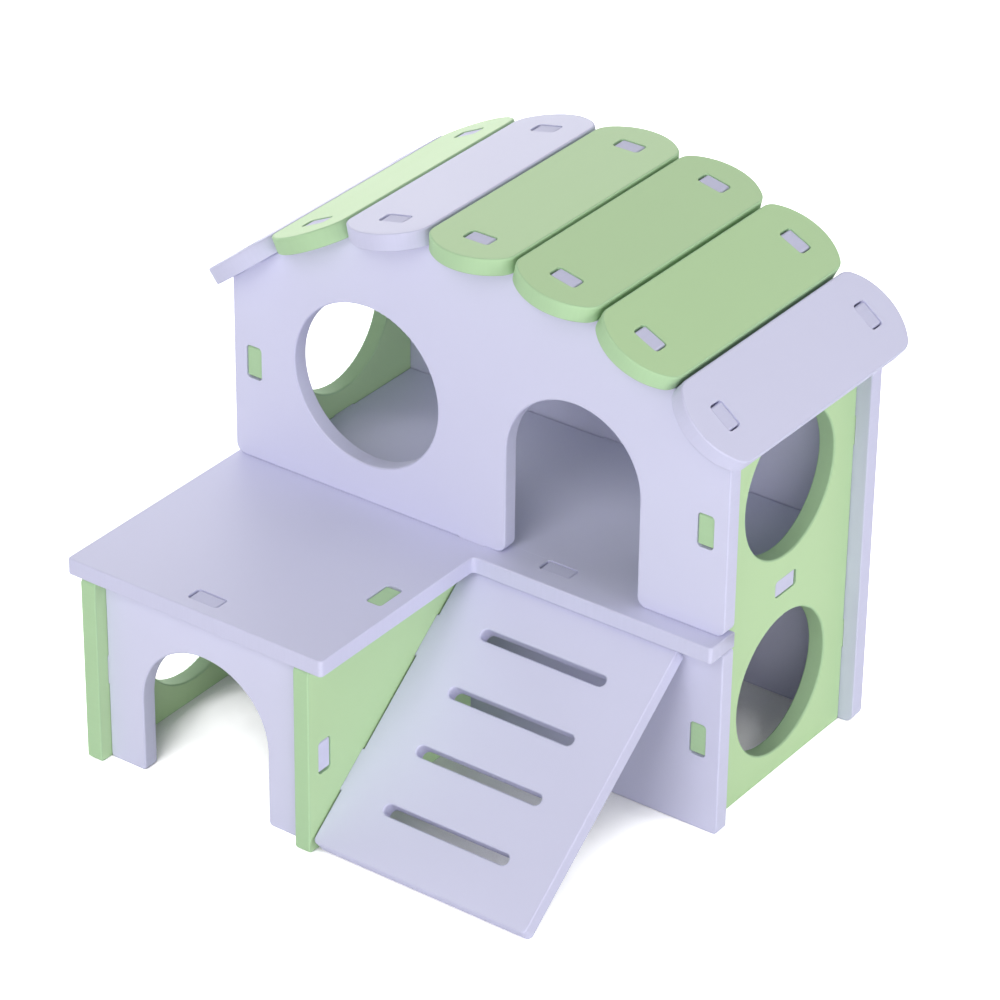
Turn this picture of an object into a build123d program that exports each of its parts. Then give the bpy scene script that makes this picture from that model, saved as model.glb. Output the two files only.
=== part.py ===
from build123d import *

import os
from math import atan2, cos, degrees, radians, sin, tan

os.makedirs("parts", exist_ok=True)

# Two-storey hamster house of flat boards that plug together with tenons and slots.
# Millimetres, +Z up, the porch at the front (-Y), origin under the middle of the whole house.

# Board stock and joinery
BOARD = 5.0  # thickness of every board
TENON = 9.3  # width of a wall or deck tenon
ROOF_TENON = 7.6  # width of a tenon that carries a roof plank
RAMP_TENON = 13.0  # width of a tenon on the ramp's edge
TIP_SETBACK = 0.2  # a tenon's tip ends this much inside the far face
END_PLAY = 0.45  # gap between a tenon and each end of its slot
FACE_PLAY = 0.1  # gap between a board's face and each long side of its slot
SLOT_CORNER = 1.2  # corner radius that the cutter leaves in a slot
TIP_CORNER = 0.7  # corner radius of a tenon's tip
SLOT_RIM = 60.0  # a hole with a shorter rim than this is a slot, and keeps a crisp rim
EDGE_ROUND = 0.5  # softened edge along both faces of every board
SMALL_CORNER = 1.2  # corner radius of a board's outline
BIG_CORNER = 3.0  # corner radius at the foot of the upper front wall and the back wall

# House
HOUSE_WIDTH = 163.0
HOUSE_DEPTH = 73.0  # front face of the front walls to back face of the back wall
DECK_TOP = 62.0  # height of the upper floor
WALL_INSET = 4.5  # side walls stand in from the ends of the front and back walls
LOW_TENON_HEIGHT = 28.0  # middle of the lower row of wall tenons
HIGH_TENON_HEIGHT = 92.2  # middle of the upper row of wall tenons
LOWER_WALL_WIDTH = 109.2  # lower front wall, measured from the right end
DECK_LIP = 6.0  # deck in front of the upper front wall
DECK_BACK_GAP = 0.3  # between the deck's back edge and the back wall

# Openings
DOOR_WIDTH = 43.0
DOOR_HEIGHT = 53.4
DOOR_CENTRE = 113.8  # from the left end of the front wall
WINDOW_RADIUS = 24.2
WINDOW_CENTRE = 45.5  # from the left end of the front wall
WINDOW_HEIGHT = 97.8
HOLE_RADIUS = 21.4
HOLE_ABOVE_FLOOR = 28.4  # centre of a side hole above the floor of its storey

# Porch
PORCH_WIDTH = 86.3
PORCH_DEPTH = 72.0
PORCH_SETBACK = 4.2  # porch front wall behind the front edge of the deck
ARCH_WIDTH = 43.0
ARCH_HEIGHT = 44.5

# Ramp
RAMP_WIDTH = 69.3
RAMP_SLOPE = 37.8  # degrees from the floor
RAMP_GAP = 0.3  # running gap to the deck, the front wall and the porch side wall
RAMP_CORNER = 1.6
FOOTHOLD_LENGTH = 40.3
FOOTHOLD_WIDTH = 3.4
FOOTHOLD_PITCH = 18.0
FOOTHOLD_COUNT = 4
RAMP_TENON_SPREAD = 41.8  # distance between the two tenons along the slope

# Roof
RIDGE_HEIGHT = 147.9  # underside of the middle plank
PLANK_WIDTH = 26.6
PLANK_GAP = 0.2  # between the lower edges of two neighbouring planks
PLANK_SLOPES = (-38.0, -26.0, -12.0, 0.0, 12.0, 26.0, 38.0)  # degrees, left to right
PLANK_OVERHANG = 8.9  # beyond the outer faces of the front and back walls
PLANK_END_RADIUS = 16.5
PLANK_END_CORNER = 6.0
SEAT_GAP = 0.1  # a plank rests this far above the wall that carries it

# Lines that the boards share
LEFT = -HOUSE_WIDTH / 2
RIGHT = HOUSE_WIDTH / 2
FRONT = (PORCH_DEPTH - HOUSE_DEPTH - PLANK_OVERHANG) / 2
BACK = FRONT + HOUSE_DEPTH
PORCH_FRONT = FRONT - PORCH_DEPTH
DECK_UNDER = DECK_TOP - BOARD
LEFT_INNER = LEFT + WALL_INSET + BOARD
RIGHT_INNER = RIGHT - WALL_INSET - BOARD
FRONT_INNER = FRONT + BOARD
BACK_INNER = BACK - BOARD
PORCH_RIGHT = LEFT + PORCH_WIDTH
PORCH_WALL_INNER = PORCH_RIGHT - WALL_INSET - BOARD
PORCH_WALL_OUTER = PORCH_RIGHT - WALL_INSET
ARCH_FRONT = PORCH_FRONT + PORCH_SETBACK
LOWER_WALL_LEFT = RIGHT - LOWER_WALL_WIDTH
REACH = BOARD - TIP_SETBACK  # how far a tenon stands out of its board
ROOT = BOARD / 2  # a tenon's rectangle starts this deep inside its board

# Middles of the tenons, used by the tenon's board and by the slot's board
LEFT_WALL_X = LEFT_INNER - BOARD / 2
RIGHT_WALL_X = RIGHT_INNER + BOARD / 2
PORCH_WALL_X = PORCH_WALL_OUTER - BOARD / 2
DECK_Z = DECK_TOP - BOARD / 2
FRONT_WALL_Y = FRONT + BOARD / 2
PORCH_FRONT_Y = ARCH_FRONT + BOARD / 2
ROOM_Y = (FRONT_INNER + BACK_INNER) / 2
PORCH_ROOM_Y = (ARCH_FRONT + BOARD + FRONT) / 2
PORCH_WALL_Y = (PORCH_FRONT + FRONT) / 2
PORCH_X = (LEFT_INNER + PORCH_WALL_INNER) / 2
LOWER_WALL_X = (LOWER_WALL_LEFT + RIGHT) / 2
MIDDLE_X = 0.0


def gable_corners():
    """Corners of the gable line, left to right, on which the planks' undersides lie."""
    facet = PLANK_WIDTH + PLANK_GAP
    right = [(facet / 2, RIDGE_HEIGHT)]
    for slope in PLANK_SLOPES[len(PLANK_SLOPES) // 2 + 1:]:
        x, z = right[-1]
        right.append((x + facet * cos(radians(slope)), z - facet * sin(radians(slope))))
    return [(-x, z) for x, z in reversed(right)] + right


GABLE = gable_corners()


def facet_plane(index, depth):
    """Plane on one facet of the gable: local x runs across the plank, local z points outwards."""
    (x0, z0), (x1, z1) = GABLE[index], GABLE[index + 1]
    slope = radians(PLANK_SLOPES[index])
    return Plane(
        origin=((x0 + x1) / 2, depth, (z0 + z1) / 2),
        x_dir=(cos(slope), 0, -sin(slope)),
        z_dir=(sin(slope), 0, cos(slope)),
    )


def gable_height(x):
    """Height of the gable line above a point near the end of the wall."""
    corner_x, corner_z = GABLE[-2]
    return corner_z - (abs(x) - corner_x) * tan(radians(PLANK_SLOPES[-1]))


def slot(u, v, width, height, angle=0.0):
    """Cut a slot for a tenon of this size out of the sketch being drawn."""
    with Locations(Location((u, v), angle)):
        RectangleRounded(width, height, SLOT_CORNER, mode=Mode.SUBTRACT)


def tall_slot(u, v, length=TENON):
    """Cut a slot whose tenon stands upright in the sketch."""
    slot(u, v, BOARD + 2 * FACE_PLAY, length + 2 * END_PLAY)


def flat_slot(u, v, length=TENON):
    """Cut a slot whose tenon lies flat in the sketch."""
    slot(u, v, length + 2 * END_PLAY, BOARD + 2 * FACE_PLAY)


def block(u0, u1, v0, v1):
    """Add a rectangle between two pairs of lines."""
    with Locations(((u0 + u1) / 2, (v0 + v1) / 2)):
        Rectangle(u1 - u0, v1 - v0)


def tenon(u, v, towards, length=TENON, reach=REACH):
    """Add a tenon that leaves its board at (u, v) and points along the given direction."""
    du, dv = towards
    middle = (reach - ROOT) / 2
    with Locations(Location((u + du * middle, v + dv * middle), degrees(atan2(dv, du)))):
        RectangleRounded(reach + ROOT, length, TIP_CORNER)


def gable_outline(foot):
    """Corners of a gable wall, from its foot up to the line of the planks."""
    inner = GABLE[1:-1]
    eaves = gable_height(RIGHT)
    return [(LEFT, foot), (RIGHT, foot), (RIGHT, eaves), *reversed(inner), (LEFT, eaves)]


def roof_tenons():
    """Add the tenons that stand out of the gable line, one for each plank."""
    for index, slope in enumerate(PLANK_SLOPES):
        (x0, z0), (x1, z1) = GABLE[index], GABLE[index + 1]
        outwards = (sin(radians(slope)), cos(radians(slope)))
        tenon((x0 + x1) / 2, (z0 + z1) / 2, outwards, ROOF_TENON, SEAT_GAP + REACH)


def arched_opening(x, foot, width, height):
    """Cut an opening with a half-round head, open at its foot."""
    spring = height - width / 2
    with Locations((x, foot + spring / 2)):
        Rectangle(width, spring, mode=Mode.SUBTRACT)
    with Locations((x, foot + spring)):
        Circle(width / 2, mode=Mode.SUBTRACT)


def round_feet(sketch, height, radius):
    """Round the corners of an outline that lie at one height."""
    corners = [v for v in sketch.vertices() if abs(v.Y - height) < 0.01]
    fillet(corners, radius)


def soften(board, plane):
    """Round the edges around both faces of a board, but leave the rims of its slots crisp."""
    rims = ShapeList()
    for face in board.faces().filter_by(plane):
        rims += face.outer_wire().edges()
        for rim in face.inner_wires():
            if rim.length > SLOT_RIM:
                rims += rim.edges()
    fillet(rims, EDGE_ROUND)


# Upper front wall: stands on the deck, with the round window and the door.
with BuildPart() as front_wall_upper:
    with BuildSketch(Plane.XZ.offset(-FRONT)) as upper_face:
        with BuildLine():
            Polyline(*gable_outline(DECK_TOP), close=True)
        make_face()
        arched_opening(LEFT + DOOR_CENTRE, DECK_TOP, DOOR_WIDTH, DOOR_HEIGHT)
        round_feet(upper_face, DECK_TOP, BIG_CORNER)
        roof_tenons()
        tenon(MIDDLE_X, DECK_TOP, (0, -1))
        with Locations((LEFT + WINDOW_CENTRE, WINDOW_HEIGHT)):
            Circle(WINDOW_RADIUS, mode=Mode.SUBTRACT)
        for wall_x in (LEFT_WALL_X, RIGHT_WALL_X):
            tall_slot(wall_x, HIGH_TENON_HEIGHT)
    extrude(amount=-BOARD)
    soften(front_wall_upper, Plane.XZ)

# Lower front wall: carries the deck behind the ramp and holds the end of the porch side wall.
with BuildPart() as front_wall_lower:
    with BuildSketch(Plane.XZ.offset(-FRONT)) as lower_face:
        block(LOWER_WALL_LEFT, RIGHT, 0, DECK_UNDER)
        fillet(lower_face.vertices(), SMALL_CORNER)
        tenon(LOWER_WALL_X, DECK_UNDER, (0, 1))
        for wall_x in (PORCH_WALL_X, RIGHT_WALL_X):
            tall_slot(wall_x, LOW_TENON_HEIGHT)
    extrude(amount=-BOARD)
    soften(front_wall_lower, Plane.XZ)

# Back wall: one board from the floor to the roof.
with BuildPart() as back_wall:
    with BuildSketch(Plane.XZ.offset(-BACK_INNER)) as back_face:
        with BuildLine():
            Polyline(*gable_outline(0), close=True)
        make_face()
        round_feet(back_face, 0, BIG_CORNER)
        roof_tenons()
        flat_slot(MIDDLE_X, DECK_Z)
        for wall_x in (LEFT_WALL_X, RIGHT_WALL_X):
            for height in (LOW_TENON_HEIGHT, HIGH_TENON_HEIGHT):
                tall_slot(wall_x, height)
    extrude(amount=-BOARD)
    soften(back_wall, Plane.XZ)

SIDE_WALL_TOP = gable_height(RIGHT_INNER + BOARD) - SEAT_GAP

# Right side wall: both storeys, a round hole on each, and a slot for the deck.
with BuildPart() as right_side_wall:
    with BuildSketch(Plane.YZ.offset(RIGHT_INNER)) as right_face:
        block(FRONT_INNER, BACK_INNER, 0, SIDE_WALL_TOP)
        fillet(right_face.vertices(), SMALL_CORNER)
        for height in (LOW_TENON_HEIGHT, HIGH_TENON_HEIGHT):
            tenon(FRONT_INNER, height, (-1, 0))
            tenon(BACK_INNER, height, (1, 0))
        for floor in (0, DECK_TOP):
            with Locations((ROOM_Y, floor + HOLE_ABOVE_FLOOR)):
                Circle(HOLE_RADIUS, mode=Mode.SUBTRACT)
        flat_slot(ROOM_Y, DECK_Z)
    extrude(amount=BOARD)
    soften(right_side_wall, Plane.YZ)

# Left side wall: an L-shaped board that runs forward under the deck as the porch's side.
with BuildPart() as left_side_wall:
    with BuildSketch(Plane.YZ.offset(LEFT_INNER - BOARD)) as left_face:
        block(PORCH_FRONT, BACK_INNER, 0, DECK_UNDER)
        block(FRONT_INNER, BACK_INNER, 0, SIDE_WALL_TOP)
        outer = left_face.vertices().filter_by(lambda v: abs(v.Y - DECK_UNDER) > 0.01 or v.X < FRONT)
        fillet(outer, SMALL_CORNER)
        tenon(FRONT_INNER, HIGH_TENON_HEIGHT, (-1, 0))
        for height in (LOW_TENON_HEIGHT, HIGH_TENON_HEIGHT):
            tenon(BACK_INNER, height, (1, 0))
        for y, floor in ((PORCH_ROOM_Y, 0), (ROOM_Y, DECK_TOP)):
            with Locations((y, floor + HOLE_ABOVE_FLOOR)):
                Circle(HOLE_RADIUS, mode=Mode.SUBTRACT)
        flat_slot(ROOM_Y, DECK_Z)
        tall_slot(PORCH_FRONT_Y, LOW_TENON_HEIGHT)
    extrude(amount=BOARD)
    soften(left_side_wall, Plane.YZ)

# Deck: floor of the upper storey, roof of the porch and landing of the ramp, in one board.
with BuildPart() as deck:
    with BuildSketch(Plane.XY.offset(DECK_UNDER)) as deck_face:
        block(LEFT, RIGHT, FRONT - DECK_LIP, FRONT_INNER)
        block(LEFT, PORCH_RIGHT, PORCH_FRONT, FRONT_INNER)
        block(LEFT_INNER, RIGHT_INNER, FRONT_INNER - BOARD, BACK_INNER - DECK_BACK_GAP)
        front_corners = deck_face.vertices().filter_by(lambda v: v.Y < FRONT - DECK_LIP + 0.01)
        fillet(front_corners, SMALL_CORNER)
        tenon(LEFT_INNER, ROOM_Y, (-1, 0))
        tenon(RIGHT_INNER, ROOM_Y, (1, 0))
        tenon(MIDDLE_X, BACK_INNER, (0, 1))
        flat_slot(PORCH_X, PORCH_FRONT_Y)
        tall_slot(PORCH_WALL_X, PORCH_WALL_Y)
        for x in (MIDDLE_X, LOWER_WALL_X):
            flat_slot(x, FRONT_WALL_Y)
    extrude(amount=BOARD)
    soften(deck, Plane.XY)

# Porch front wall: the arch, held by a tenon in each side wall and one in the deck.
with BuildPart() as porch_front_wall:
    with BuildSketch(Plane.XZ.offset(-ARCH_FRONT)) as arch_face:
        block(LEFT_INNER, PORCH_WALL_INNER, 0, DECK_UNDER)
        arched_opening(PORCH_X, 0, ARCH_WIDTH, ARCH_HEIGHT)
        round_feet(arch_face, 0, SMALL_CORNER)
        tenon(LEFT_INNER, LOW_TENON_HEIGHT, (-1, 0))
        tenon(PORCH_WALL_INNER, LOW_TENON_HEIGHT, (1, 0))
        tenon(PORCH_X, DECK_UNDER, (0, 1))
    extrude(amount=-BOARD)
    soften(porch_front_wall, Plane.XZ)

# The ramp leans on the deck's front lip and stands on the floor.
RAMP_RISE = DECK_UNDER - RAMP_GAP
RAMP_LENGTH = (RAMP_RISE - BOARD * cos(radians(RAMP_SLOPE))) / sin(radians(RAMP_SLOPE))
RAMP_FOOT_Y = FRONT - RAMP_GAP - RAMP_LENGTH * cos(radians(RAMP_SLOPE))
RAMP_LEFT = PORCH_WALL_OUTER + RAMP_GAP
RAMP_TENON_PLACES = [RAMP_LENGTH / 2 + side * RAMP_TENON_SPREAD / 2 for side in (-1, 1)]

# Porch side wall: carries the porch front wall and the left edge of the ramp.
with BuildPart() as porch_side_wall:
    with BuildSketch(Plane.YZ.offset(PORCH_WALL_INNER)) as porch_side_face:
        block(PORCH_FRONT, FRONT, 0, DECK_UNDER)
        fillet(porch_side_face.vertices(), SMALL_CORNER)
        tenon(FRONT, LOW_TENON_HEIGHT, (1, 0))
        tenon(PORCH_WALL_Y, DECK_UNDER, (0, 1))
        tall_slot(PORCH_FRONT_Y, LOW_TENON_HEIGHT)
        for place in RAMP_TENON_PLACES:
            slope = radians(RAMP_SLOPE)
            y = RAMP_FOOT_Y + place * cos(slope) - BOARD / 2 * sin(slope)
            z = place * sin(slope) + BOARD / 2 * cos(slope)
            slot(y, z, RAMP_TENON + 2 * END_PLAY, BOARD + 2 * FACE_PLAY, RAMP_SLOPE)
    extrude(amount=BOARD)
    soften(porch_side_wall, Plane.YZ)

# Ramp: a board with four long footholds and two tenons on its left edge.
ramp_plane = Plane(
    origin=(RAMP_LEFT, RAMP_FOOT_Y, 0),
    x_dir=(1, 0, 0),
    z_dir=(0, -sin(radians(RAMP_SLOPE)), cos(radians(RAMP_SLOPE))),
)
with BuildPart() as ramp:
    with BuildSketch(ramp_plane) as ramp_face:
        block(0, RAMP_WIDTH, 0, RAMP_LENGTH)
        fillet(ramp_face.vertices(), RAMP_CORNER)
        for place in RAMP_TENON_PLACES:
            tenon(0, place, (-1, 0), RAMP_TENON, RAMP_GAP + REACH)
        with Locations((RAMP_WIDTH / 2, RAMP_LENGTH / 2)):
            with GridLocations(0, FOOTHOLD_PITCH, 1, FOOTHOLD_COUNT):
                SlotOverall(FOOTHOLD_LENGTH, FOOTHOLD_WIDTH, mode=Mode.SUBTRACT)
    extrude(amount=BOARD)
    soften(ramp, ramp_plane)


def make_plank(index):
    """One roof plank: round-ended, with a slot over the front wall and one over the back wall."""
    plane = facet_plane(index, 0).offset(SEAT_GAP)
    half = PLANK_WIDTH / 2
    tip_front = FRONT - PLANK_OVERHANG
    tip_back = BACK + PLANK_OVERHANG
    bow = PLANK_END_RADIUS - (PLANK_END_RADIUS**2 - half**2) ** 0.5
    with BuildPart() as plank:
        with BuildSketch(plane) as outline:
            with BuildLine():
                ThreePointArc((-half, tip_front + bow), (0, tip_front), (half, tip_front + bow))
                Line((half, tip_front + bow), (half, tip_back - bow))
                ThreePointArc((half, tip_back - bow), (0, tip_back), (-half, tip_back - bow))
                Line((-half, tip_back - bow), (-half, tip_front + bow))
            make_face()
            fillet(outline.vertices(), PLANK_END_CORNER)
            for wall_y in (FRONT_WALL_Y, BACK - BOARD / 2):
                flat_slot(0, wall_y, ROOF_TENON)
        extrude(amount=BOARD)
        soften(plank, plane)
    return plank


planks = [make_plank(index) for index in range(len(PLANK_SLOPES))]

boards = {
    "front_wall_upper": front_wall_upper,
    "front_wall_lower": front_wall_lower,
    "back_wall": back_wall,
    "right_side_wall": right_side_wall,
    "left_side_wall": left_side_wall,
    "deck": deck,
    "porch_front_wall": porch_front_wall,
    "porch_side_wall": porch_side_wall,
    "ramp": ramp,
}
for number, plank in enumerate(planks, start=1):
    boards[f"roof_plank_{number}"] = plank

for name, board in boards.items():
    board.part.label = name
    export_step(board.part, f"parts/{name}.step")
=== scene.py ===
"""Dresses the slot-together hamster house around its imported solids.

The walls, the deck and the ramp are cleaned copies of their solids. The roof planks are
slats that a Geometry Nodes tree makes from the planks' own sizes. Every board gets the two
finishes of a routed foam board, its rolled skin and its cut edge. Names that end in _mm
are in millimetres, and every other length is in metres. The porch faces -Y.
"""

import logging
import math
from dataclasses import dataclass, field
from enum import Enum
from typing import Any

import bmesh
import bpy
from mathutils import Matrix, Vector


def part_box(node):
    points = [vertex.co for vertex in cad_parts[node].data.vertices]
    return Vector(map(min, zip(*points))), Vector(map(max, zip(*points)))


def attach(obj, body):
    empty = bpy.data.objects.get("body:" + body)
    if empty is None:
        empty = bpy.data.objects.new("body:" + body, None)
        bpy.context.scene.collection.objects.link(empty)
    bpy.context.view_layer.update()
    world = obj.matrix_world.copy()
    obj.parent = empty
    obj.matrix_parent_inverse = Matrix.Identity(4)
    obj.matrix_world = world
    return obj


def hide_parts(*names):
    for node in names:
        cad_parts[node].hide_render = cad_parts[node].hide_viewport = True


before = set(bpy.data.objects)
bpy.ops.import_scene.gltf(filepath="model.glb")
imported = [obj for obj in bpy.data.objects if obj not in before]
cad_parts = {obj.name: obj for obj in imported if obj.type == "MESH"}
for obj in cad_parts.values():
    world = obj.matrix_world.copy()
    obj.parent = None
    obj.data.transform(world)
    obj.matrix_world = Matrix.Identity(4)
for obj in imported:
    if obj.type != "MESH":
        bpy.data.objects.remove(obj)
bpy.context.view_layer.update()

LOG = logging.getLogger("hamster_house")
MM = 0.001
BOARD_FRAME = "board_mm"  # attribute: place in the board's own frame, in mm
MERGE = 0.001 * MM  # corners nearer than this are one corner
SKIN_LIMIT = 0.999  # a face whose normal is this near the board's is skin, not cut edge
RIM_DEGREES = 40  # edges that turn more than this are rims, which get eased
CORNER_POINTS = 14  # points along a slat's rounded corner
END_POINTS = 18  # points along half of a slat's bowed end
SLOT_CORNER_POINTS = 5
HOUSE_MIDDLE = Vector((0.0, 0.0, 0.07))  # the lamps look here


# ---------------------------------------------------------------- small helpers


def linear(hex_colour: str) -> tuple[float, float, float, float]:
    """Turn an sRGB hex colour into linear RGBA.

    Args:
        hex_colour: Six hex digits, with or without a leading #.

    Returns:
        The colour in linear light, with alpha 1.
    """
    digits = hex_colour.lstrip("#")
    values = [int(digits[i : i + 2], 16) / 255 for i in (0, 2, 4)]
    channels = [v / 12.92 if v <= 0.04045 else ((v + 0.055) / 1.055) ** 2.4 for v in values]
    return (*channels, 1.0)


def add_node(
    tree: bpy.types.NodeTree, kind: str, links: dict[Any, Any] | None = None, **settings: Any
) -> bpy.types.Node:
    """Add one node with its settings, values and links.

    Args:
        tree: Shader or geometry tree that gets the node.
        kind: The node's type name.
        links: Input name or index, to a value or to the socket that feeds it.
        **settings: Properties of the node itself.

    Returns:
        The new node.
    """
    node = tree.nodes.new(kind)
    for name, value in settings.items():
        setattr(node, name, value)
    for key, value in (links or {}).items():
        if isinstance(value, bpy.types.NodeSocket):
            tree.links.new(value, node.inputs[key])
        else:
            node.inputs[key].default_value = value
    return node


def link_object(name: str, mesh: bpy.types.Mesh) -> bpy.types.Object:
    """Put a mesh into the scene as an object at the origin.

    Args:
        name: The object's name.
        mesh: Its mesh, already in place.

    Returns:
        The new object.
    """
    obj = bpy.data.objects.new(name, mesh)
    bpy.context.scene.collection.objects.link(obj)
    return obj


def baked(obj: bpy.types.Object) -> None:
    """Turn an object's modifiers into a plain mesh and remove them.

    Args:
        obj: The object, whose mesh is replaced.
    """
    graph = bpy.context.evaluated_depsgraph_get()
    graph.update()
    mesh = bpy.data.meshes.new_from_object(obj.evaluated_get(graph), depsgraph=graph)
    mesh.name = obj.name
    obj.modifiers.clear()
    old = obj.data
    obj.data = mesh
    bpy.data.meshes.remove(old)
    for index in reversed(range(len(mesh.materials))):
        if mesh.materials[index] is None:
            mesh.materials.pop(index=index)


def smooth_roundings(board: bpy.types.Object, sharp_degrees: float = 32.0) -> None:
    """Shade the eased edges smooth, with the large flat faces keeping their own direction.

    Args:
        board: A board whose mesh is final.
        sharp_degrees: Edges that turn more than this stay sharp.
    """
    board.data.shade_smooth()
    board.data.set_sharp_from_angle(angle=math.radians(sharp_degrees))
    even = board.modifiers.new("flat faces lead", "WEIGHTED_NORMAL")
    even.mode = "FACE_AREA"
    even.weight = 100
    even.keep_sharp = True
    baked(board)


# ---------------------------------------------------------------- finishes


@dataclass(frozen=True)
class FoamBoard:
    """Foamed PVC sheet, 5 mm, coloured right through: closed-cell foam rolled to a matte skin.

    The skin gives the eye a flat, eggshell-matte pastel with a faint broad sheen. The cut
    edge shows the router's fine strokes across the thickness and the foam's open cells, so
    it is rougher and a little darker, with no sheen.
    """

    name: str
    slot: str
    skin_hex: str
    cut_hex: str
    skin_roughness: float = 0.5
    cut_roughness: float = 0.72
    refraction: float = 1.53  # index of PVC
    sheen_level: float = 0.36  # the matte skin mirrors little at a flat angle
    tint_spread: float = 0.02  # share by which the colour varies to each side
    roughness_spread: float = 0.04
    skin_bump: float = 0.15
    cut_bump: float = 0.12
    bump_depth_mm: float = 0.03
    mottle_mm: float = 38.0  # soft cloudiness of the pigment
    grain_mm: float = 0.9  # eggshell of the skin; real 0.2 mm, drawn coarser so that it shows
    stroke_mm: float = 0.7  # router strokes; real 0.3 mm, drawn coarser so that they show
    cell_mm: float = 0.55  # open foam cells; real 0.15 mm, drawn coarser so that they show

    def _shader(self, name: str) -> tuple[bpy.types.Material, bpy.types.Node]:
        """Make an empty material with its shader.

        Args:
            name: The material's name.

        Returns:
            The material and its Principled BSDF node.
        """
        material = bpy.data.materials.new(name)
        material.use_nodes = True
        tree = material.node_tree
        tree.nodes.clear()
        shader = add_node(tree, "ShaderNodeBsdfPrincipled")
        shader.inputs["IOR"].default_value = self.refraction
        shader.inputs["Specular IOR Level"].default_value = self.sheen_level
        add_node(tree, "ShaderNodeOutputMaterial", {"Surface": shader.outputs["BSDF"]})
        return material, shader

    def _tint(self, shader: bpy.types.Node, hex_colour: str, pattern: bpy.types.NodeSocket) -> None:
        """Let a pattern vary the base colour a little.

        Args:
            shader: The material's Principled BSDF node.
            hex_colour: The colour's middle value.
            pattern: Factor from 0 for darkest to 1 for lightest.
        """
        tree = shader.id_data
        base = Vector(linear(hex_colour)[:3])
        tint = add_node(tree, "ShaderNodeMix", {0: pattern}, data_type="RGBA")
        tint.inputs[6].default_value = (*(base * (1 - self.tint_spread)), 1.0)
        tint.inputs[7].default_value = (*(base * (1 + self.tint_spread)), 1.0)
        tree.links.new(tint.outputs[2], shader.inputs["Base Color"])

    def _bump(self, shader: bpy.types.Node, height: bpy.types.NodeSocket, strength: float) -> None:
        """Let a height pattern roughen the surface.

        Args:
            shader: The material's Principled BSDF node.
            height: The pattern.
            strength: How much of the bump depth shows.
        """
        depth = self.bump_depth_mm * MM
        links = {"Height": height, "Strength": strength, "Distance": depth}
        bump = add_node(shader.id_data, "ShaderNodeBump", links)
        shader.id_data.links.new(bump.outputs["Normal"], shader.inputs["Normal"])

    def skin(self) -> bpy.types.Material:
        """Make the rolled skin: cloudy pigment, eggshell grain and an uneven sheen.

        Returns:
            The material.
        """
        material, shader = self._shader(f"{self.name} foam board, rolled skin")
        tree = material.node_tree
        place = add_node(tree, "ShaderNodeTexCoord").outputs["Object"]
        mottle = add_node(
            tree,
            "ShaderNodeTexNoise",
            {"Vector": place, "Scale": 1 / (self.mottle_mm * MM), "Detail": 2.0},
        )
        self._tint(shader, self.skin_hex, mottle.outputs["Fac"])
        sheen = add_node(
            tree,
            "ShaderNodeMapRange",
            {
                "Value": mottle.outputs["Fac"],
                "To Min": self.skin_roughness - self.roughness_spread,
                "To Max": self.skin_roughness + self.roughness_spread,
            },
        )
        tree.links.new(sheen.outputs["Result"], shader.inputs["Roughness"])
        grain = add_node(
            tree,
            "ShaderNodeTexNoise",
            {"Vector": place, "Scale": 1 / (self.grain_mm * MM), "Detail": 3.0, "Roughness": 0.6},
        )
        self._bump(shader, grain.outputs["Fac"], self.skin_bump)
        return material

    def cut_edge(self) -> bpy.types.Material:
        """Make the routed edge: strokes across the thickness and open foam cells.

        Returns:
            The material.
        """
        material, shader = self._shader(f"{self.name} foam board, routed edge")
        tree = material.node_tree
        place = add_node(tree, "ShaderNodeAttribute", attribute_name=BOARD_FRAME)
        stretched = add_node(
            tree,
            "ShaderNodeMapping",
            {
                "Vector": place.outputs["Vector"],
                "Scale": (1 / self.stroke_mm, 1 / self.stroke_mm, 0.08),
            },
        )
        strokes = add_node(
            tree,
            "ShaderNodeTexNoise",
            {"Vector": stretched.outputs["Vector"], "Scale": 1.0, "Detail": 1.0},
        )
        cells = add_node(
            tree,
            "ShaderNodeTexVoronoi",
            {"Vector": place.outputs["Vector"], "Scale": 1 / self.cell_mm},
        )
        height = add_node(
            tree,
            "ShaderNodeMath",
            {0: strokes.outputs["Fac"], 1: cells.outputs["Distance"]},
            operation="ADD",
        )
        self._tint(shader, self.cut_hex, strokes.outputs["Fac"])
        shader.inputs["Roughness"].default_value = self.cut_roughness
        self._bump(shader, height.outputs["Value"], self.cut_bump)
        return material


class Colour(Enum):
    """The two colours of board in the house."""

    LAVENDER = FoamBoard("Lavender", "lavender_board", "CECEE7", "C8C8E2")
    GREEN = FoamBoard("Green", "green_board", "B2D1A0", "AACBA0")


@dataclass
class Finishes:
    """The materials of both board colours, made once."""

    made: dict[Colour, tuple[bpy.types.Material, bpy.types.Material]] = field(
        default_factory=dict
    )

    def of(self, colour: Colour) -> tuple[bpy.types.Material, bpy.types.Material]:
        """Give a colour's skin and cut-edge materials.

        Args:
            colour: The board's colour.

        Returns:
            The skin and the cut edge.
        """
        if colour not in self.made:
            self.made[colour] = (colour.value.skin(), colour.value.cut_edge())
        return self.made[colour]


# ---------------------------------------------------------------- geometry trees


class Facing(Enum):
    """How a board stands: the normal of its face, and a direction along it."""

    FRONT = (Vector((0, -1, 0)), Vector((1, 0, 0)))
    SIDE = (Vector((1, 0, 0)), Vector((0, 1, 0)))
    LEVEL = (Vector((0, 0, 1)), Vector((1, 0, 0)))


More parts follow.
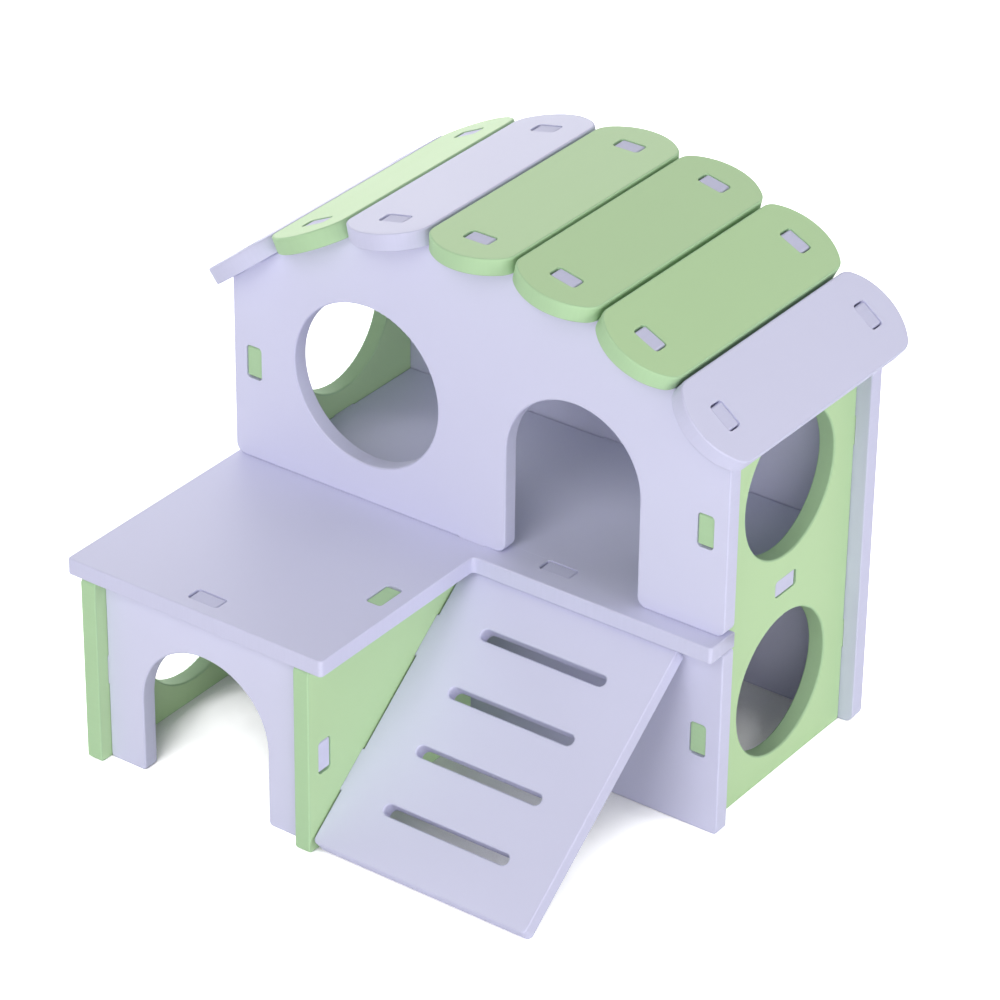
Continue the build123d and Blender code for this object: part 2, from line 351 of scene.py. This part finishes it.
def new_tree(name: str, inputs: dict[str, tuple[str, Any]]) -> bpy.types.NodeTree:
    """Make an empty geometry tree with named inputs.

    Args:
        name: The tree's name.
        inputs: Input name, to its socket type and default value (None for none).

    Returns:
        The tree, with its Group Input node first and no other node.
    """
    tree = bpy.data.node_groups.new(name, "GeometryNodeTree")
    tree.interface.new_socket("Geometry", in_out="INPUT", socket_type="NodeSocketGeometry")
    for label, (kind, value) in inputs.items():
        socket = tree.interface.new_socket(label, in_out="INPUT", socket_type=kind)
        if value is not None:
            socket.default_value = value
    tree.interface.new_socket("Geometry", in_out="OUTPUT", socket_type="NodeSocketGeometry")
    tree.nodes.new("NodeGroupInput")
    return tree


def put_tree(obj: bpy.types.Object, tree: bpy.types.NodeTree, values: dict[str, Any]) -> None:
    """Give an object a Geometry Nodes modifier and set its inputs by identifier.

    Args:
        obj: The object.
        tree: The tree that the modifier runs.
        values: Input name to value.
    """
    modifier = obj.modifiers.new(tree.name, "NODES")
    modifier.node_group = tree
    for item in tree.interface.items_tree:
        if item.item_type == "SOCKET" and item.in_out == "INPUT" and item.name in values:
            modifier[item.identifier] = values[item.name]


def board_tree() -> bpy.types.NodeTree:
    """Make the tree that dresses a cut board.

    It stores each corner's place in the board's own frame, for the router strokes, and
    parts the skin from the cut edge by the way that the faces look.

    Returns:
        The tree.
    """
    tree = new_tree(
        "routed board",
        {
            "Face Normal": ("NodeSocketVector", None),
            "Along": ("NodeSocketVector", None),
            "Skin": ("NodeSocketMaterial", None),
            "Cut Edge": ("NodeSocketMaterial", None),
        },
    )
    group = tree.nodes[0]
    place = add_node(tree, "GeometryNodeInputPosition").outputs[0]
    across = add_node(
        tree,
        "ShaderNodeVectorMath",
        {0: group.outputs["Face Normal"], 1: group.outputs["Along"]},
        operation="CROSS_PRODUCT",
    )
    parts = [
        add_node(tree, "ShaderNodeVectorMath", {0: place, 1: axis}, operation="DOT_PRODUCT")
        for axis in (group.outputs["Along"], across.outputs[0], group.outputs["Face Normal"])
    ]
    local = add_node(
        tree, "ShaderNodeCombineXYZ", {i: part.outputs["Value"] for i, part in enumerate(parts)}
    )
    in_mm = add_node(
        tree, "ShaderNodeVectorMath", {0: local.outputs[0], "Scale": 1 / MM}, operation="SCALE"
    )
    stored = add_node(
        tree,
        "GeometryNodeStoreNamedAttribute",
        {"Geometry": group.outputs["Geometry"], "Name": BOARD_FRAME, "Value": in_mm.outputs[0]},
        data_type="FLOAT_VECTOR",
        domain="POINT",
    )
    real = add_node(tree, "GeometryNodeRealizeInstances", {"Geometry": stored.outputs[0]})
    skin = add_node(
        tree,
        "GeometryNodeSetMaterial",
        {"Geometry": real.outputs[0], "Material": group.outputs["Skin"]},
    )
    looks = add_node(
        tree,
        "ShaderNodeVectorMath",
        {
            0: add_node(tree, "GeometryNodeInputNormal").outputs[0],
            1: group.outputs["Face Normal"],
        },
        operation="DOT_PRODUCT",
    )
    size = add_node(tree, "ShaderNodeMath", {0: looks.outputs["Value"]}, operation="ABSOLUTE")
    is_cut = add_node(
        tree, "FunctionNodeCompare", {"A": size.outputs[0], "B": SKIN_LIMIT}, operation="LESS_THAN"
    )
    cut = add_node(
        tree,
        "GeometryNodeSetMaterial",
        {
            "Geometry": skin.outputs[0],
            "Selection": is_cut.outputs["Result"],
            "Material": group.outputs["Cut Edge"],
        },
    )
    add_node(tree, "NodeGroupOutput", {"Geometry": cut.outputs[0]})
    return tree


def slat_tree() -> bpy.types.NodeTree:
    """Make the tree that cuts one roof slat from its sizes.

    A quarter of the outline (long side, rounded corner, bowed end) is mirrored twice. The
    slots are instances on two points, the outline with its slots is filled and raised to
    the board's thickness, and the slat is laid on its facet of the roof.

    Returns:
        The tree.
    """
    number, vector = "NodeSocketFloat", "NodeSocketVector"
    tree = new_tree(
        "roof slat",
        {
            "Width": (number, None),
            "Length": (number, None),
            "End Radius": (number, None),
            "Corner Radius": (number, None),
            "Thickness": (number, None),
            "Slot Length": (number, None),
            "Slot Width": (number, None),
            "Slot Corner": (number, None),
            "Slot Spread": (number, None),
            "Slope": (number, None),
            "Place": (vector, None),
            "Skin": ("NodeSocketMaterial", None),
        },
    )
    group = tree.nodes[0]
    given = group.outputs

    def sum_of(kind: str, first: Any, second: Any = 0.0) -> bpy.types.NodeSocket:
        """Add a maths node and give its result."""
        return add_node(tree, "ShaderNodeMath", {0: first, 1: second}, operation=kind).outputs[0]

    def point(x: Any = 0.0, y: Any = 0.0) -> bpy.types.NodeSocket:
        """Add a point in the slat's plane."""
        return add_node(tree, "ShaderNodeCombineXYZ", {"X": x, "Y": y}).outputs[0]

    def moved(shape: Any, offset: Any = (0, 0, 0), scale: Any = (1, 1, 1)) -> bpy.types.NodeSocket:
        """Add a step that moves or mirrors a shape."""
        links = {"Geometry": shape, "Translation": offset, "Scale": scale}
        return add_node(tree, "GeometryNodeTransform", links).outputs[0]

    def joined(*shapes: bpy.types.NodeSocket) -> bpy.types.NodeSocket:
        """Add a step that joins shapes."""
        join = add_node(tree, "GeometryNodeJoinGeometry")
        for shape in shapes:
            tree.links.new(shape, join.inputs[0])
        return join.outputs[0]

    half_width = sum_of("MULTIPLY", given["Width"], 0.5)
    half_length = sum_of("MULTIPLY", given["Length"], 0.5)
    end_y = sum_of("SUBTRACT", half_length, given["End Radius"])
    corner_x = sum_of("SUBTRACT", half_width, given["Corner Radius"])
    reach = sum_of("SUBTRACT", given["End Radius"], given["Corner Radius"])
    reach_squared = sum_of("MULTIPLY", reach, reach)
    run_squared = sum_of("MULTIPLY", corner_x, corner_x)
    rise = sum_of("SQRT", sum_of("SUBTRACT", reach_squared, run_squared))
    corner_y = sum_of("ADD", end_y, rise)
    turn = sum_of("ARCTAN2", rise, corner_x)

    side = add_node(
        tree,
        "GeometryNodeCurvePrimitiveLine",
        {"Start": point(half_width), "End": point(half_width, corner_y)},
    )
    corner = add_node(
        tree,
        "GeometryNodeCurveArc",
        {
            "Resolution": CORNER_POINTS,
            "Radius": given["Corner Radius"],
            "Start Angle": 0.0,
            "Sweep Angle": turn,
        },
        mode="RADIUS",
    )
    end = add_node(
        tree,
        "GeometryNodeCurveArc",
        {
            "Resolution": END_POINTS,
            "Radius": given["End Radius"],
            "Start Angle": turn,
            "Sweep Angle": sum_of("SUBTRACT", math.pi / 2, turn),
        },
        mode="RADIUS",
    )
    quarter = joined(
        side.outputs[0],
        moved(corner.outputs[0], point(corner_x, corner_y)),
        moved(end.outputs[0], point(0.0, end_y)),
    )
    half = joined(quarter, moved(quarter, scale=(-1, 1, 1)))
    whole = joined(half, moved(half, scale=(1, -1, 1)))
    loose = add_node(tree, "GeometryNodeCurveToMesh", {"Curve": whole})
    tied = add_node(
        tree, "GeometryNodeMergeByDistance", {"Geometry": loose.outputs[0], "Distance": MERGE}
    )
    outline = add_node(tree, "GeometryNodeMeshToCurve", {"Mesh": tied.outputs[0]})

    slot_shape = add_node(
        tree,
        "GeometryNodeCurvePrimitiveQuadrilateral",
        {"Width": given["Slot Length"], "Height": given["Slot Width"]},
        mode="RECTANGLE",
    )
    rounded = add_node(
        tree,
        "GeometryNodeFilletCurve",
        {
            "Curve": slot_shape.outputs[0],
            "Count": SLOT_CORNER_POINTS,
            "Radius": given["Slot Corner"],
        },
        mode="POLY",
    )
    first = sum_of("MULTIPLY", given["Slot Spread"], -0.5)
    places = add_node(
        tree,
        "GeometryNodeMeshLine",
        {
            "Count": 2,
            "Start Location": point(0.0, first),
            "Offset": point(0.0, given["Slot Spread"]),
        },
        mode="OFFSET",
    )
    slots = add_node(
        tree,
        "GeometryNodeInstanceOnPoints",
        {"Points": places.outputs[0], "Instance": rounded.outputs[0]},
    )
    cut_lines = add_node(tree, "GeometryNodeRealizeInstances", {"Geometry": slots.outputs[0]})
    sheet = add_node(
        tree,
        "GeometryNodeFillCurve",
        {"Curve": joined(outline.outputs[0], cut_lines.outputs[0])},
        mode="NGONS",
    )
    raised = add_node(
        tree,
        "GeometryNodeExtrudeMesh",
        {
            "Mesh": sheet.outputs[0],
            "Offset": (0, 0, 1),
            "Offset Scale": given["Thickness"],
            "Individual": False,
        },
        mode="FACES",
    )
    under = add_node(tree, "GeometryNodeFlipFaces", {"Mesh": sheet.outputs[0]})
    solid = add_node(
        tree,
        "GeometryNodeMergeByDistance",
        {"Geometry": joined(raised.outputs["Mesh"], under.outputs[0]), "Distance": MERGE},
    )
    flat_place = add_node(tree, "GeometryNodeInputPosition").outputs[0]
    from_middle = add_node(tree, "ShaderNodeVectorMath", {0: flat_place}, operation="ABSOLUTE")
    to_slot = add_node(
        tree,
        "ShaderNodeVectorMath",
        {0: from_middle.outputs[0], 1: point(0.0, sum_of("MULTIPLY", given["Slot Spread"], 0.5))},
        operation="DISTANCE",
    )
    off_slot = sum_of("GREATER_THAN", to_slot.outputs["Value"], given["Slot Length"])
    turn_of_edge = add_node(tree, "GeometryNodeInputMeshEdgeAngle").outputs[0]
    on_rim = sum_of("GREATER_THAN", turn_of_edge, math.radians(RIM_DEGREES))
    rims = add_node(
        tree,
        "GeometryNodeStoreNamedAttribute",
        {
            "Geometry": solid.outputs[0],
            "Name": "bevel_weight_edge",
            "Value": sum_of("MULTIPLY", off_slot, on_rim),
        },
        data_type="FLOAT",
        domain="EDGE",
    )
    tilt = add_node(tree, "ShaderNodeCombineXYZ", {"Y": given["Slope"]})
    laid = add_node(
        tree,
        "GeometryNodeTransform",
        {
            "Geometry": rims.outputs[0],
            "Translation": given["Place"],
            "Rotation": tilt.outputs[0],
        },
    )
    real = add_node(tree, "GeometryNodeRealizeInstances", {"Geometry": laid.outputs[0]})
    bare = add_node(
        tree, "GeometryNodeSetMaterial", {"Geometry": real.outputs[0], "Material": given["Skin"]}
    )
    add_node(tree, "NodeGroupOutput", {"Geometry": bare.outputs[0]})
    return tree


# ---------------------------------------------------------------- the house


@dataclass
class BoardShop:
    """Cuts the boards that are copies of their solids, and dresses every board."""

    finishes: Finishes
    tree: bpy.types.NodeTree

    def cut(
        self, node: str, body: str, colour: Colour, facing: tuple[Vector, Vector]
    ) -> bpy.types.Object:
        """Make the board that stands for one solid.

        Args:
            node: The solid's name.
            body: The body that it moves with.
            colour: The board's colour.
            facing: The board's normal and a direction along it.

        Returns:
            The finished board.
        """
        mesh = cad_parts[node].data.copy()
        mesh.materials.clear()
        work = bmesh.new()
        work.from_mesh(mesh)
        bmesh.ops.remove_doubles(work, verts=work.verts, dist=MERGE)
        work.to_mesh(mesh)
        work.free()
        board = link_object(f"{node}_board", mesh)
        return self.dress(board, node, body, colour, facing)

    def dress(
        self,
        board: bpy.types.Object,
        node: str,
        body: str,
        colour: Colour,
        facing: tuple[Vector, Vector],
    ) -> bpy.types.Object:
        """Give a board its skin and cut edges, and let it stand for its solid.

        Args:
            board: The board in its final shape.
            node: The solid's name.
            body: The body that it moves with.
            colour: The board's colour.
            facing: The board's normal and a direction along it.

        Returns:
            The same board.
        """
        skin, cut_edge = self.finishes.of(colour)
        values = {
            "Face Normal": facing[0],
            "Along": facing[1],
            "Skin": skin,
            "Cut Edge": cut_edge,
        }
        put_tree(board, self.tree, values)
        baked(board)
        smooth_roundings(board)
        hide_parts(node)
        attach(board, body)
        LOG.info("%s: %d faces", board.name, len(board.data.polygons))
        return board


@dataclass
class House:
    """The fixed boards: the walls of both storeys and the deck."""

    shop: BoardShop
    body: str = "house"

    def build(self) -> list[bpy.types.Object]:
        """Cut the walls and the deck.

        Returns:
            The boards.
        """
        plan = (
            ("front_wall_upper", Colour.LAVENDER, Facing.FRONT),
            ("front_wall_lower", Colour.LAVENDER, Facing.FRONT),
            ("back_wall", Colour.LAVENDER, Facing.FRONT),
            ("right_side_wall", Colour.GREEN, Facing.SIDE),
            ("left_side_wall", Colour.GREEN, Facing.SIDE),
            ("deck", Colour.LAVENDER, Facing.LEVEL),
        )
        return [self.shop.cut(node, self.body, colour, way.value) for node, colour, way in plan]


@dataclass
class Porch:
    """The boards under the front of the deck: the arch and the wall beside the ramp."""

    shop: BoardShop
    body: str = "house"

    def build(self) -> list[bpy.types.Object]:
        """Cut the porch walls.

        Returns:
            The boards.
        """
        arch = self.shop.cut("porch_front_wall", self.body, Colour.LAVENDER, Facing.FRONT.value)
        side = self.shop.cut("porch_side_wall", self.body, Colour.GREEN, Facing.SIDE.value)
        return [arch, side]


@dataclass
class Ramp:
    """The sloping board with its footholds."""

    shop: BoardShop
    slope_degrees: float = 37.8
    body: str = "ramp"

    def build(self) -> bpy.types.Object:
        """Cut the ramp.

        Returns:
            The board.
        """
        slope = math.radians(self.slope_degrees)
        normal = Vector((0, -math.sin(slope), math.cos(slope)))
        return self.shop.cut("ramp", self.body, Colour.LAVENDER, (normal, Vector((1, 0, 0))))


@dataclass
class Roof:
    """Seven slats, each on its facet of the gable and on one tenon of each gable wall."""

    shop: BoardShop
    tree: bpy.types.NodeTree
    colours: tuple[Colour, ...] = (
        Colour.LAVENDER,
        Colour.GREEN,
        Colour.LAVENDER,
        Colour.GREEN,
        Colour.GREEN,
        Colour.GREEN,
        Colour.LAVENDER,
    )
    slopes: tuple[float, ...] = (-38.0, -26.0, -12.0, 0.0, 12.0, 26.0, 38.0)
    board_mm: float = 5.0
    width_mm: float = 26.6
    gap_mm: float = 0.2
    ridge_mm: float = 147.9
    depth_mm: float = 73.0
    overhang_mm: float = 8.9
    end_radius_mm: float = 16.5
    corner_mm: float = 6.0
    seat_mm: float = 0.1
    slot_length_mm: float = 8.5
    slot_width_mm: float = 5.2
    slot_corner_mm: float = 1.2
    easing_mm: float = 0.5
    easing_steps: int = 4

    def facet_middles(self) -> list[Vector]:
        """Work out the middle of each facet of the gable, in millimetres.

        Returns:
            One point for each slat, left to right, in the plane y = 0.
        """
        facet = self.width_mm + self.gap_mm
        ends = [(facet / 2, self.ridge_mm)]
        for slope in self.slopes[len(self.slopes) // 2 + 1 :]:
            x, z = ends[-1]
            turn = math.radians(slope)
            ends.append((x + facet * math.cos(turn), z - facet * math.sin(turn)))
        line = [(-x, z) for x, z in reversed(ends)] + ends
        facets = zip(line, line[1:])
        return [Vector(((x0 + x1) / 2, 0.0, (z0 + z1) / 2)) for (x0, z0), (x1, z1) in facets]

    def build(self) -> list[bpy.types.Object]:
        """Make the seven slats.

        Returns:
            The slats, left to right.
        """
        low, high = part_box("roof_plank_4")
        middle_y = (low.y + high.y) / 2
        slats = []
        for index, middle in enumerate(self.facet_middles()):
            slats.append(self.slat(index, middle, middle_y))
        return slats

    def slat(self, index: int, middle: Vector, middle_y: float) -> bpy.types.Object:
        """Make one slat.

        Args:
            index: Its place from the left, from 0.
            middle: Middle of its facet, in millimetres.
            middle_y: Middle of the house from front to back, in metres.

        Returns:
            The finished slat.
        """
        node = f"roof_plank_{index + 1}"
        slope = math.radians(self.slopes[index])
        outwards = Vector((math.sin(slope), 0, math.cos(slope)))
        place = (middle + outwards * self.seat_mm) * MM + Vector((0, middle_y, 0))
        colour = self.colours[index]
        board = link_object(f"{node}_slat", bpy.data.meshes.new(f"{node}_slat"))
        values = {
            "Width": self.width_mm * MM,
            "Length": (self.depth_mm + 2 * self.overhang_mm) * MM,
            "End Radius": self.end_radius_mm * MM,
            "Corner Radius": self.corner_mm * MM,
            "Thickness": self.board_mm * MM,
            "Slot Length": self.slot_length_mm * MM,
            "Slot Width": self.slot_width_mm * MM,
            "Slot Corner": self.slot_corner_mm * MM,
            "Slot Spread": (self.depth_mm - self.board_mm) * MM,
            "Slope": slope,
            "Place": place,
            "Skin": self.shop.finishes.of(colour)[0],
        }
        put_tree(board, self.tree, values)
        easing = board.modifiers.new("eased edges", "BEVEL")
        easing.width = self.easing_mm * MM
        easing.segments = self.easing_steps
        easing.limit_method = "WEIGHT"
        baked(board)
        work = bmesh.new()
        work.from_mesh(board.data)
        bmesh.ops.recalc_face_normals(work, faces=work.faces)
        work.to_mesh(board.data)
        work.free()
        return self.shop.dress(board, node, node, colour, (outwards, Vector((0, 1, 0))))


# ---------------------------------------------------------------- the studio


@dataclass(frozen=True)
class SoftBox:
    """A square studio lamp that looks at the middle of the house."""

    name: str
    place: tuple[float, float, float]
    side: float
    watts: float

    def hang(self, target: Vector) -> None:
        """Hang the lamp.

        Args:
            target: The point that it looks at.
        """
        lamp = bpy.data.lights.new(self.name, "AREA")
        lamp.shape = "SQUARE"
        lamp.size = self.side
        lamp.energy = self.watts
        obj = bpy.data.objects.new(self.name, lamp)
        bpy.context.scene.collection.objects.link(obj)
        obj.location = self.place
        obj.rotation_euler = (target - obj.location).to_track_quat("-Z", "Y").to_euler()


@dataclass
class Studio:
    """White floor and surroundings, and the lamps."""

    floor_radius: float = 3.0
    floor_corners: int = 96
    floor_hex: str = "F4F4F4"
    # The floor's glow is painted light that whitens it to the eye. It fades where boards cover the
    # floor, which paints shade there on top of the real shadow.
    floor_glow: float = 0.85  # whitens the floor to the eye without lighting the house
    covered: float = 0.15  # share of open sky below which the floor doesn't glow
    open_sky: float = 0.32  # share of open sky above which it glows in full
    cover_reach: float = 0.1  # how far away a board still covers the floor, in metres
    ambient: float = 0.1  # light of the white surroundings on the house
    lamps: tuple[SoftBox, ...] = (
        SoftBox("front softbox", (0.0, -1.8, 0.35), 1.0, 4.4),
        SoftBox("high front softbox", (0.2, -1.4, 1.2), 1.0, 12.9),
        SoftBox("front right softbox", (1.25, -1.3, 0.5), 1.0, 8.8),
        SoftBox("right softbox", (1.8, 0.0, 0.4), 1.0, 15.6),
        SoftBox("left softbox", (-1.75, 0.0, 0.5), 1.0, 10.8),
        SoftBox("top softbox", (0.0, 0.0, 1.8), 1.2, 3.2),
        SoftBox("back left softbox", (-1.3, 1.1, 0.9), 1.8, 9.6),
        SoftBox("low back left softbox", (-1.15, 1.15, 0.3), 1.0, 4.7),
        SoftBox("back softbox", (0.3, 1.8, 0.7), 1.0, 4.1),
        SoftBox("low back softbox", (-0.4, 1.8, 0.2), 1.0, 11.3),
    )

    @staticmethod
    def seen(tree: bpy.types.NodeTree) -> bpy.types.NodeSocket:
        """Tell the rays that show the surroundings from those that light the house.

        Args:
            tree: The shader tree that asks.

        Returns:
            A factor, 1 for camera, glossy and transmission rays.
        """
        path = add_node(tree, "ShaderNodeLightPath").outputs
        either = add_node(
            tree,
            "ShaderNodeMath",
            {0: path["Is Camera Ray"], 1: path["Is Glossy Ray"]},
            operation="MAXIMUM",
        )
        both = add_node(
            tree,
            "ShaderNodeMath",
            {0: either.outputs[0], 1: path["Is Transmission Ray"]},
            operation="MAXIMUM",
        )
        return both.outputs[0]

    def build(self, target: Vector) -> None:
        """Make the surroundings, the floor and the lamps.

        Args:
            target: The middle of the house.
        """
        self.surroundings()
        self.floor()
        for lamp in self.lamps:
            lamp.hang(target)

    def surroundings(self) -> None:
        """Make the world: white to the eye, and plain soft light on the house."""
        world = bpy.data.worlds.new("white surroundings")
        bpy.context.scene.world = world
        world.use_nodes = True
        tree = world.node_tree
        tree.nodes.clear()
        light = add_node(tree, "ShaderNodeBackground", {"Strength": self.ambient})
        white = add_node(tree, "ShaderNodeBackground", {"Strength": 1.0})
        for node in (light, white):
            node.inputs["Color"].default_value = (1, 1, 1, 1)
        mixed = add_node(
            tree,
            "ShaderNodeMixShader",
            {0: self.seen(tree), 1: light.outputs[0], 2: white.outputs[0]},
        )
        add_node(tree, "ShaderNodeOutputWorld", {"Surface": mixed.outputs[0]})

    def glow_with_painted_shade(self, tree: bpy.types.NodeTree) -> bpy.types.NodeSocket:
        """Work out how strongly the floor's painted glow shows to the eye at each place. Ambient
        occlusion takes the glow away where boards cover the floor, which paints shade there on top
        of the real shadow.

        Args:
            tree: The floor's shader tree.

        Returns:
            The strength: full on open ground, none under a roof, a deck or a ramp.
        """
        # painted shade: the glow fades with ambient occlusion under the ramp, the deck and the roof
        cover = add_node(tree, "ShaderNodeAmbientOcclusion", {"Distance": self.cover_reach})
        fade = add_node(
            tree,
            "ShaderNodeMapRange",
            {
                "Value": cover.outputs["AO"],
                "From Min": self.covered,
                "From Max": self.open_sky,
                "To Max": self.floor_glow,
            },
            interpolation_type="SMOOTHSTEP",
        )
        return fade.outputs["Result"]

    def floor(self) -> None:
        """Make the floor: white paper that keeps the shadow of the house, under a painted glow that
        gives way to painted shade where boards cover it.
        """
        mesh = bpy.data.meshes.new("floor")
        work = bmesh.new()
        bmesh.ops.create_circle(
            work, cap_ends=True, segments=self.floor_corners, radius=self.floor_radius
        )
        work.to_mesh(mesh)
        work.free()
        floor = link_object("floor", mesh)
        material = bpy.data.materials.new("white paper floor")
        material.use_nodes = True
        tree = material.node_tree
        tree.nodes.clear()
        paper = add_node(tree, "ShaderNodeBsdfDiffuse", {"Color": linear(self.floor_hex)})
        glow = add_node(tree, "ShaderNodeEmission", {"Strength": self.glow_with_painted_shade(tree)})
        lit = add_node(tree, "ShaderNodeAddShader", {0: paper.outputs[0], 1: glow.outputs[0]})
        shown = add_node(
            tree,
            "ShaderNodeMixShader",
            {0: self.seen(tree), 1: paper.outputs[0], 2: lit.outputs[0]},
        )
        add_node(tree, "ShaderNodeOutputMaterial", {"Surface": shown.outputs[0]})
        mesh.materials.append(material)


@dataclass(frozen=True)
class PhotoCamera:
    """The camera, at the photograph's viewing angle."""

    place: tuple[float, float, float] = (0.60901, -0.83754, 0.68385)
    azimuth: float = 35.7732  # degrees round from the front, to the right
    below: float = 30.5427  # degrees below the horizon
    roll: float = 0.6986  # degrees
    lens_mm: float = 161.011
    sensor_mm: float = 36.0

    def build(self) -> None:
        """Make the camera and look through it."""
        azimuth, below, roll = map(math.radians, (self.azimuth, self.below, self.roll))
        ahead = Vector(
            (
                -math.sin(azimuth) * math.cos(below),
                math.cos(azimuth) * math.cos(below),
                -math.sin(below),
            )
        )
        right = Vector((math.cos(azimuth), math.sin(azimuth), 0))
        up = right.cross(ahead)
        turned_right = right * math.cos(roll) + up * math.sin(roll)
        turned_up = up * math.cos(roll) - right * math.sin(roll)
        data = bpy.data.cameras.new("photo camera")
        data.lens = self.lens_mm
        data.sensor_width = self.sensor_mm
        camera = bpy.data.objects.new("photo camera", data)
        bpy.context.scene.collection.objects.link(camera)
        turn = Matrix((turned_right, turned_up, -ahead)).transposed().to_4x4()
        camera.matrix_world = Matrix.Translation(Vector(self.place)) @ turn
        bpy.context.scene.camera = camera


def main() -> None:
    """Build the camera, the studio and the house, in that order."""
    logging.basicConfig(level=logging.INFO, format="%(name)s: %(message)s")
    bpy.context.scene.view_settings.view_transform = "Standard"
    PhotoCamera().build()
    Studio().build(HOUSE_MIDDLE)
    finishes = Finishes()
    shop = BoardShop(finishes, board_tree())
    House(shop).build()
    Porch(shop).build()
    Ramp(shop).build()
    Roof(shop, slat_tree()).build()


if __name__ == "__main__":
    main()
